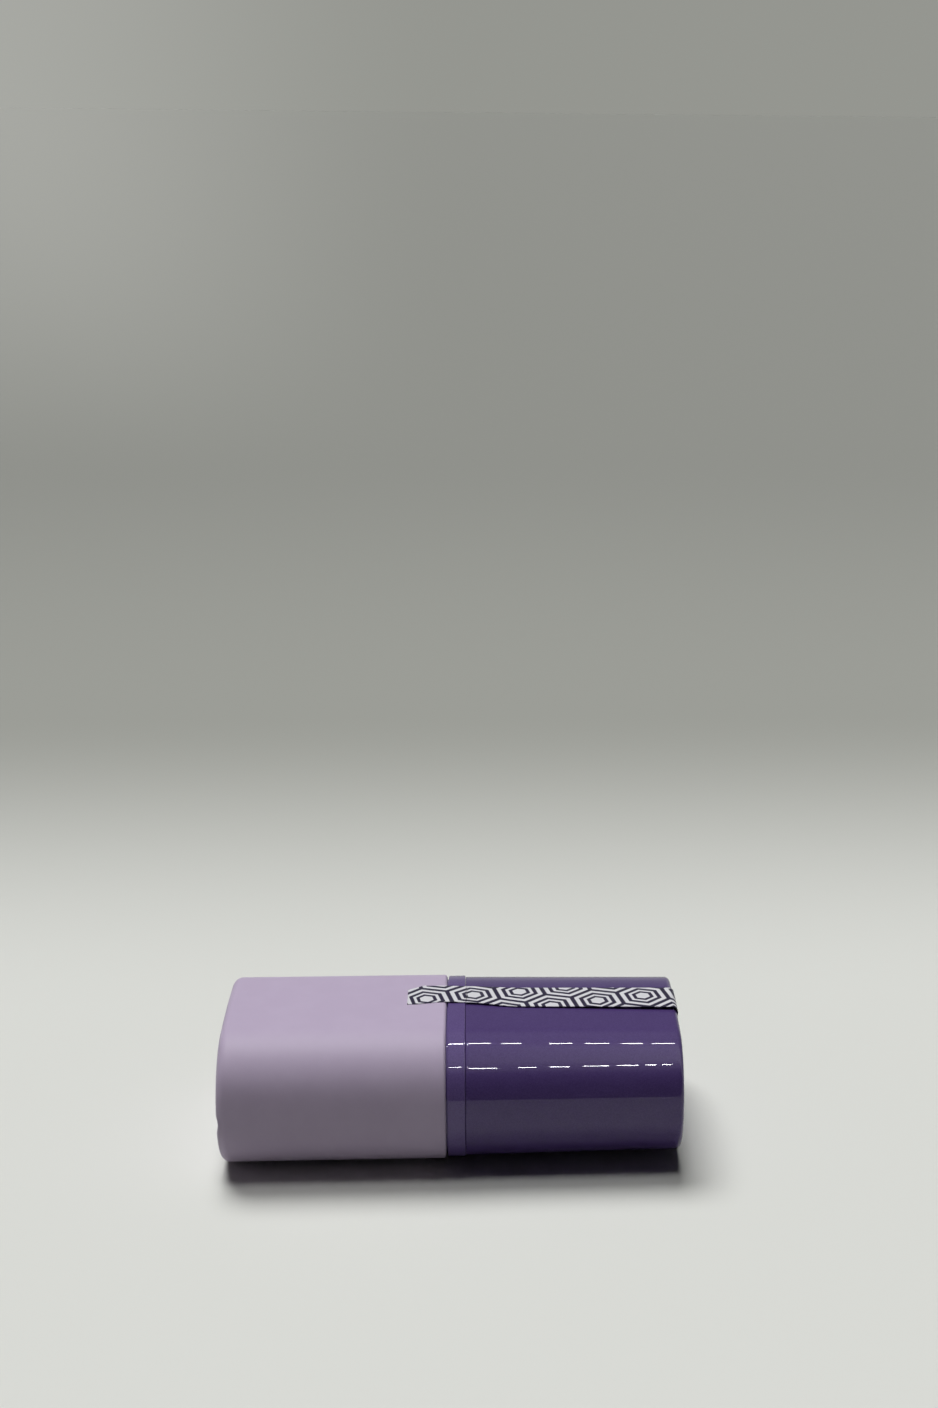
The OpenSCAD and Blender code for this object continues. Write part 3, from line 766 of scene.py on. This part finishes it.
top_rings = rounding(head_high.x, -head_in, head_edge, -1)
edge = top_rings[-1]
centre = Vector((head_high.x, 0, half_height))
top_rings += [[centre + (p - centre) * i / dish_rings for p in edge] for i in range(dish_rings - 1, 0, -1)]
roof_x = head_high.x - head_roof
rings = [circle_ring(socket_end, socket_radius), circle_ring(boss_start, socket_radius),
         circle_ring(boss_start, boss_radius), circle_ring(roof_x, boss_radius),
         ring(roof_x, -head_in - head_wall), ring(head_low.x, -head_in - head_wall),
         ring(head_low.x, -head_in), ring(head_high.x - head_edge - 2 * support, -head_in)]
head = skin("push_button", rings + [dished(r) for r in top_rings], closed=False)
face_height = 2 * half_height - head_in
tube_end = (face_height - head_wall / 2) / mm
head = worked(head, "UNION", rod(outlet_tube, half_height / mm, tube_end, towards_nozzle))
for side in (-1, 1):
    ends = sorted((side * boss_radius / 2, side * (half_width - head_in - head_wall / 2)))
    stiffener = bar((socket_end, ends[0], half_height - web / 2),
                    (roof_x + web / 2, ends[1], half_height + web / 2))
    head = worked(head, "UNION", stiffener)
head = worked(head, "DIFFERENCE", rod(stem_bore, bore_start, (nozzle_x - base_x) / mm, on_axis))
drill_end = face_height / mm + 1
for radius, start in ((outlet_radius, half_height / mm), (nozzle_seat, nozzle_low.z / mm - push_play)):
    head = worked(head, "DIFFERENCE", rod(radius, start, drill_end, towards_nozzle))
dress(head, "plunger", "actuator", lavender_finish)


# Nozzle insert: a small white moulded outlet with a countersunk mouth. It is pressed into the seat
# in the button's broad side.
nozzle_radius = 1.5
countersink = 0.4
nozzle_bottom = nozzle_low.z / mm
nozzle_top = nozzle_high.z / mm
nozzle = turned("outlet_insert", [
    (outlet_radius, nozzle_bottom), (nozzle_radius, nozzle_bottom), (nozzle_radius, nozzle_top),
    (outlet_radius + countersink, nozzle_top), (outlet_radius, nozzle_top - countersink)],
    0.1 * mm, towards_nozzle)
dress(nozzle, "plunger", "nozzle_insert", white_finish)


# Cap liner: the moulded inner cup that is pressed into the cap. Four small ribs on its broad sides
# grip the spigot, so that the cap clicks on and pulls off.
liner_low, liner_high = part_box("cap_liner")
liner_in = 1.9 * mm
liner_wall = 0.9 * mm
liner_edge = 0.4 * mm
rib_length = 5.3 * mm
rib_width = 1 * mm
rib_height = 0.25 * mm
rib_middle = 7.975 * mm
rib_spread = 4 * mm
rib_start = liner_low.x + 0.3 * mm
rib_sizes = {"length": rib_length, "width": rib_width, "height": rib_height, "across": 2 * rib_spread,
             "apart": 2 * rib_middle}


def ribbed(into):
    """A block at each corner of a rectangle that stands across the axis."""
    spots = into.node("GeometryNodeMeshGrid", None, {
        "Size X": into.other("apart"), "Size Y": into.other("across"), "Vertices X": 2, "Vertices Y": 2})
    stood = into.node("GeometryNodeTransform", None, {
        "Geometry": spots, "Rotation": (0.0, pi / 2, 0.0),
        "Translation": (rib_start + rib_length / 2, 0.0, half_height)})
    block_size = into.node("ShaderNodeCombineXYZ", None, {
        0: into.other("length"), 1: into.other("width"), 2: into.other("height")})
    rib = into.node("GeometryNodeMeshCube", None, {"Size": block_size})
    return into.node("GeometryNodeInstanceOnPoints", None, {"Points": stood, "Instance": rib})


outer = [ring(liner_low.x, -liner_in)] + rounding(liner_high.x, -liner_in, liner_edge, -1)
inner = rounding(liner_high.x - liner_wall, -liner_in - liner_wall, liner_edge, -1)[::-1]
inner += [ring(liner_low.x, -liner_in - liner_wall)]
cup = skin("liner", inner + outer, closed=False)
shape = formed("grip ribs", rib_sizes, natural_finish, ribbed)
shape.from_mesh(cup.data)
bpy.data.objects.remove(cup)
liner = settle("inner_cup", shape)
dress(liner, "cap", "cap_liner", natural_finish)


# Overcap: a long pull-off cap, moulded with a little draft and lacquered inside and out. The paint
# dries with a faint orange peel, which makes the reflections waver.
cap_low, cap_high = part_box("cap_shell")
cap_step = 0.35 * mm
cap_draft = 0.4 * mm
cap_rounding = 0.8 * mm
cavity_in = 1.85 * mm
cap_end_wall = 1.3 * mm
mouth_break = 0.1 * mm
mouth_reach = 0.17 * mm
peel_height = 0.00035 * mm
peel_width = 1.1 * mm
ring_spacing = 0.42 * mm
straight = cap_high.x - cap_rounding - cap_low.x + mouth_reach - mouth_break
ring_count = int(straight / ring_spacing)


def peeled(points):
    """Points moved in and out a little along the section, as sprayed paint dries."""
    return [p + Vector((0, p.y, p.z - half_height)).normalized() * peel_height
            * noise.noise(p / peel_width) for p in points]


purple_finish = finish("pearl purple lacquer", lacquer((0.064, 0.034, 0.150), (0.102, 0.064, 0.220)))
mouth_x = cap_low.x - mouth_reach
outer = rounding(mouth_x, -cap_step, mouth_break, 1)
for i in range(1, ring_count):
    t = i / ring_count
    outer.append(peeled(ring(mouth_x + mouth_break + straight * t, -cap_step - cap_draft * t)))
outer += rounding(cap_high.x, -cap_step - cap_draft, cap_rounding, -1)
inner = rounding(cap_high.x - cap_end_wall, -cavity_in, cap_rounding / 2, -1)[::-1]
inner += [ring(mouth_x, -cavity_in)]
cap = skin("cap", inner + outer, closed=False)
dress(cap, "cap", "cap_shell", purple_finish)


# Seal strip: coated paper with a printed hexagon lattice, stuck over shell, band and cap, cut at one
# corner and folded down over the cap's end. It tears at the cap's mouth, so it is two pieces.
strip_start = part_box("seal_strip_body")[0].x
paper = 0.1 * mm
paper_gap = 0.03 * mm
strip_width = 7.1 * mm
strip_offset = 1.9 * mm
strip_end_offset = 0.5 * mm
strip_waist = 0.9 * mm
waist_run = 8 * mm
cut_length = 2.4 * mm
cut_width = 1.8 * mm
fold_length = 5.13 * mm
edge_lift = 0.015 * mm
band_sink = 0.1 * mm
cap_sink = 0.26 * mm
sink_run = 8.36 * mm
cap_mouth = cap_low.x
lattice_spacing = 7.25 * mm
lattice_turn = radians(12.6)
lattice_at = (base_x + 30.69 * mm, 0.13 * mm)
print_edge = 0.03
strip_step = 0.4 * mm
strip_columns = 28
bend_steps = 10


def smooth_share(value, low, high):
    """0 below low, 1 above high, smooth between them."""
    share = min(1, max(0, (value - low) / (high - low)))
    return share * share * (3 - 2 * share)


def paper_growth(x):
    """How high the paper's underside runs: level over shell and band, then it sinks onto the cap."""
    on_cap = -cap_step - cap_draft * (x - cap_mouth) / (cap_high.x - cap_mouth) + paper_gap
    bridge = -band_sink * smooth_share(x, shell_end, cap_mouth)
    bridge -= cap_sink * smooth_share(x, cap_mouth, cap_mouth + sink_run)
    return max(on_cap, bridge) if x > cap_mouth else bridge


def strip_edges(x):
    """The paper's near and far edge at x."""
    share = (x - strip_start) / (cap_high.x - strip_start)
    middle = strip_offset + (strip_end_offset - strip_offset) * share
    waist = strip_waist * smooth_share(x, strip_start, band_start)
    waist *= 1 - smooth_share(x, cap_mouth, cap_mouth + waist_run)
    cut = cut_width * max(0, 1 - (x - strip_start) / cut_length)
    return middle - strip_width / 2 + waist, middle + strip_width / 2 - cut


def lay_strip(name, first, last, folded):
    """One stretch of the paper from x first to x last. Its UV map is in metres along the strip."""
    steps = int((last - first) / strip_step)
    stations = [(first + (last - first) * i / steps, 0) for i in range(steps + 1)]
    bend = cap_rounding + paper_gap
    if folded:
        shares = [k / bend_steps for k in range(1, bend_steps + 1)]
        stations += [(last + bend * sin(pi / 2 * t), bend * (1 - cos(pi / 2 * t))) for t in shares]
        stations += [(last + bend, bend + (fold_length - bend) * t) for t in shares]
    shape = bmesh.new()
    uv = shape.loops.layers.uv.new("along the strip")
    rows = []
    runs = []
    for x, down in stations:
        near, far = strip_edges(min(x, last))
        crown = face_radius + paper_growth(min(x, last))
        row = []
        for c in range(strip_columns + 1):
            share = c / strip_columns
            y = near + (far - near) * share
            z = half_height + crown_centre + sqrt(crown ** 2 - y ** 2) - down
            row.append(shape.verts.new((x, y, z + edge_lift * abs(2 * share - 1) ** 6)))
        middle = strip_columns // 2
        runs.append(runs[-1] + (row[middle].co - rows[-1][middle].co).length if rows else first)
        rows.append(row)
    for k in range(len(rows) - 1):
        for c in range(strip_columns):
            corners = ((k, c), (k + 1, c), (k + 1, c + 1), (k, c + 1))
            quad = shape.faces.new([rows[i][j] for i, j in corners])
            for loop, (i, j) in zip(quad.loops, corners):
                loop[uv].uv = (runs[i], rows[i][j].co.y)
    piece = settle(name, shape, sheet=True)
    thick = piece.modifiers.new("paper", "SOLIDIFY")
    thick.thickness = paper
    thick.offset = 1
    return piece


def printed_paper(place):
    """White coated paper, printed in navy with nested hexagons."""
    paper_white = (0.74, 0.74, 0.78)
    navy = (0.011, 0.007, 0.030)
    half = lattice_spacing / 2
    tall = lattice_spacing * sqrt(3)
    along_strip = place.node("ShaderNodeUVMap", {"uv_map": "along the strip"})
    local = place.node("ShaderNodeVectorMath", {"operation": "SUBTRACT"},
                       {0: along_strip, 1: (*lattice_at, 0)})
    turned_map = place.node("ShaderNodeVectorRotate", {"rotation_type": "Z_AXIS"},
                            {"Vector": local, "Angle": -lattice_turn})
    x = place.node("ShaderNodeSeparateXYZ", None, {0: turned_map})
    y = x.other(1)

    def cell(dx, dy):
        """How far a point lies from the nearest hexagon centre of one rectangular grid."""
        cx = x.maths("ABSOLUTE", x.maths("WRAP", x + dx, half, -half))
        cy = x.maths("ABSOLUTE", x.maths("WRAP", y + dy, tall / 2, -tall / 2))
        return x.maths("MAXIMUM", cx, 0.5 * cx + (sqrt(3) / 2) * cy)

    share = x.maths("MINIMUM", cell(0.0, 0.0), cell(half, tall / 2)) / half
    ink = share.step(0.89, 0.89 + print_edge)
    for inside, outside in ((0.26, 0.41), (0.54, 0.71)):
        ink = ink + share.step(inside, inside + print_edge) - share.step(outside, outside + print_edge)
    fibre = place.noise(3500, 3)
    worn = place.noise(900, 2)
    colour = ink.mix(fibre.mix(paper_white, (0.80, 0.80, 0.83)), worn.mix(navy, (0.020, 0.014, 0.046)))
    return {"Base Color": colour, "Roughness": 0.46 + 0.10 * fibre, "Specular IOR Level": 0.4,
            "Normal": fibre.bump(0.3, 0.02 * mm)}


paper_finish = finish("printed paper", printed_paper)
tear = 0.01 * mm
body_strip = lay_strip("strip_on_shell", strip_start, cap_mouth - tear, False)
cap_strip = lay_strip("strip_on_cap", cap_mouth + tear, cap_high.x - cap_rounding, True)
dress(body_strip, "bottle", "seal_strip_body", paper_finish)
dress(cap_strip, "cap", "seal_strip_cap", paper_finish)


# Floor: a large sheet of pale matte board under the bottle. Painted shade makes its far side darker, as the
# room's light falls off, and painted light makes a patch far off to the left a little lighter. It gives back
# a little less light than it shows.
floor_half = 8.0
shade_run = (0.045, 0.225)
painted_far_shade_run = (0.20, 0.60)
painted_left_light_run = (0.2, 0.5)
painted_left_light_slant = 0.24
held_back = 0.36


def pale_board(place):
    """Pale board in the light near the bottle, with painted shade beyond it and a painted patch of light far
    to the left.
    """
    cloud = place.noise(9, 2)
    x = place.node("ShaderNodeSeparateXYZ", None, {0: place})
    y = x.other(1)
    near = cloud.mix((0.795, 0.805, 0.765), (0.805, 0.815, 0.775))
    # Painted shade: the board's colour turns darker towards its far side.
    far = y.step(*painted_far_shade_run).mix((0.380, 0.386, 0.355), (0.312, 0.317, 0.293))
    colour = y.step(*shade_run).mix(near, far)
    # Painted light: a lighter patch on the board far off to the left.
    painted_left_light = (-1.0 * x / y).step(0.0, painted_left_light_slant) * (1 - (1 / y).step(0.0, 1.9)) * y.step(*painted_left_light_run)
    colour = painted_left_light.mix(colour, (0.440, 0.445, 0.415))
    spread = place.node("ShaderNodeLightPath").other("Is Diffuse Ray")
    colour = (held_back * spread).mix(colour, (0.0, 0.0, 0.0))
    return {"Base Color": colour, "Roughness": 0.7, "Specular IOR Level": 0.1}


shape = bmesh.new()
bmesh.ops.create_grid(shape, x_segments=8, y_segments=8, size=floor_half)
floor = settle("board", shape, sheet=True)
floor.data.materials.append(finish("pale board", pale_board))


# Lights: a soft key from the left and just behind the vertical, a weaker fill from above, and one
# that only puts the broad gloss on the soft touch. Two rows of small lamps are mirrored in the lacquer.
def sun(name, elevation, lean, strength, width, linked=()):
    """A distant soft light. Its elevation runs from the front over the top, and it leans to the left.
    Where pieces are linked, it only puts gloss on those."""
    made = bpy.data.objects.new(name, bpy.data.lights.new(name, "SUN"))
    made.data.energy = strength
    made.data.angle = width
    to_light = Vector((-sin(lean), -cos(elevation) * cos(lean), sin(elevation) * cos(lean)))
    made.rotation_euler = to_light.to_track_quat("Z", "Y").to_euler()
    made.visible_diffuse = not linked
    made.visible_glossy = bool(linked)
    scene.collection.objects.link(made)
    if linked:
        receivers = bpy.data.collections.new(name)
        for piece in linked:
            receivers.objects.link(piece)
        made.light_linking.receiver_collection = receivers


def lamp(name, place, size, radiance):
    """A flat lamp that faces down and is only mirrored, of a given brightness."""
    made = bpy.data.objects.new(name, bpy.data.lights.new(name, "AREA"))
    made.data.shape = "RECTANGLE"
    made.data.size, made.data.size_y = size
    made.data.energy = radiance * pi * size[0] * size[1]
    made.location = place
    made.visible_diffuse = False
    made.visible_camera = False
    scene.collection.objects.link(made)


sun("key", radians(110), radians(10), 2.25, radians(30))
sun("fill", radians(84), 0, 0.62, radians(16))
sun("key on soft touch", radians(104), radians(10), 2.5, radians(14), (shell, plate, head))
row_height = 0.230
lamp_depth = 0.004
back_row = [(0.0054, 0.0110), (0.0138, 0.0186), (0.0255, 0.0314), (0.0347, 0.0405), (0.0434, 0.0489),
            (0.0511, 0.0570)]
front_row = [(0.0070, 0.0150), (0.0205, 0.0252), (0.0288, 0.0342), (0.0374, 0.0444), (0.0464, 0.0520),
             (0.0537, 0.0567), (0.0582, 0.0608)]
rows = [("back lamp", back_row, 0.0428, -0.24, 90), ("front lamp", front_row, -0.1665, 0.35, 130),
        ("back lamp on the band", [(-0.004, 0.0)], 0.0305, 0, 130),
        ("front lamp on the band", [(-0.0046, -0.0007)], -0.1523, 0, 90)]
for name, row, start_y, slope, radiance in rows:
    for x0, x1 in row:
        middle = (x0 + x1) / 2
        lamp(name, (middle, start_y + slope * middle, row_height), (x1 - x0, lamp_depth), radiance)


# Room: a plain grey wall behind the board, with painted light that makes it a little lighter to the left.
# The ceiling with its bright panel is only mirrored, and almost no light comes from the room itself.
world = bpy.data.worlds.new("room")
scene.world = world
world.use_nodes = True
sky = world.node_tree.nodes["Background"]
sky.inputs["Strength"].default_value = 1.0
seen = Wire(world.node_tree).node("ShaderNodeLightPath")
direction = seen.node("ShaderNodeTexCoord")
sideways = direction.node("ShaderNodeSeparateXYZ", None, {0: direction})
height = sideways.other(2)
over = height.maths("ARCTAN2", height, -1.0 * sideways.other(1))
panel = over.step(radians(54), radians(70)) - over.step(radians(88), radians(108))
ceiling = (0.10 + 1.05 * sideways.step(-0.08, 0.18)) * panel
for gain, start, end in ((0.50, 44, 54), (-0.35, 122, 142), (0.38, 161, 168)):
    ceiling = ceiling + gain * over.step(radians(start), radians(end))
mirrored = ceiling.node("ShaderNodeCombineColor", None, {0: ceiling, 1: ceiling, 2: 0.97 * ceiling})
# Painted light: the wall seen behind the board is lighter to the left.
wall_with_painted_light = (-1.0 * sideways).step(0.0, 0.24).mix((0.300, 0.305, 0.280), (0.395, 0.400, 0.372))
tone = seen.mix((0.006, 0.006, 0.0057), wall_with_painted_light)
tone = seen.other("Is Glossy Ray").mix(tone, mirrored)
world.node_tree.links.new(tone.socket, sky.inputs["Color"])
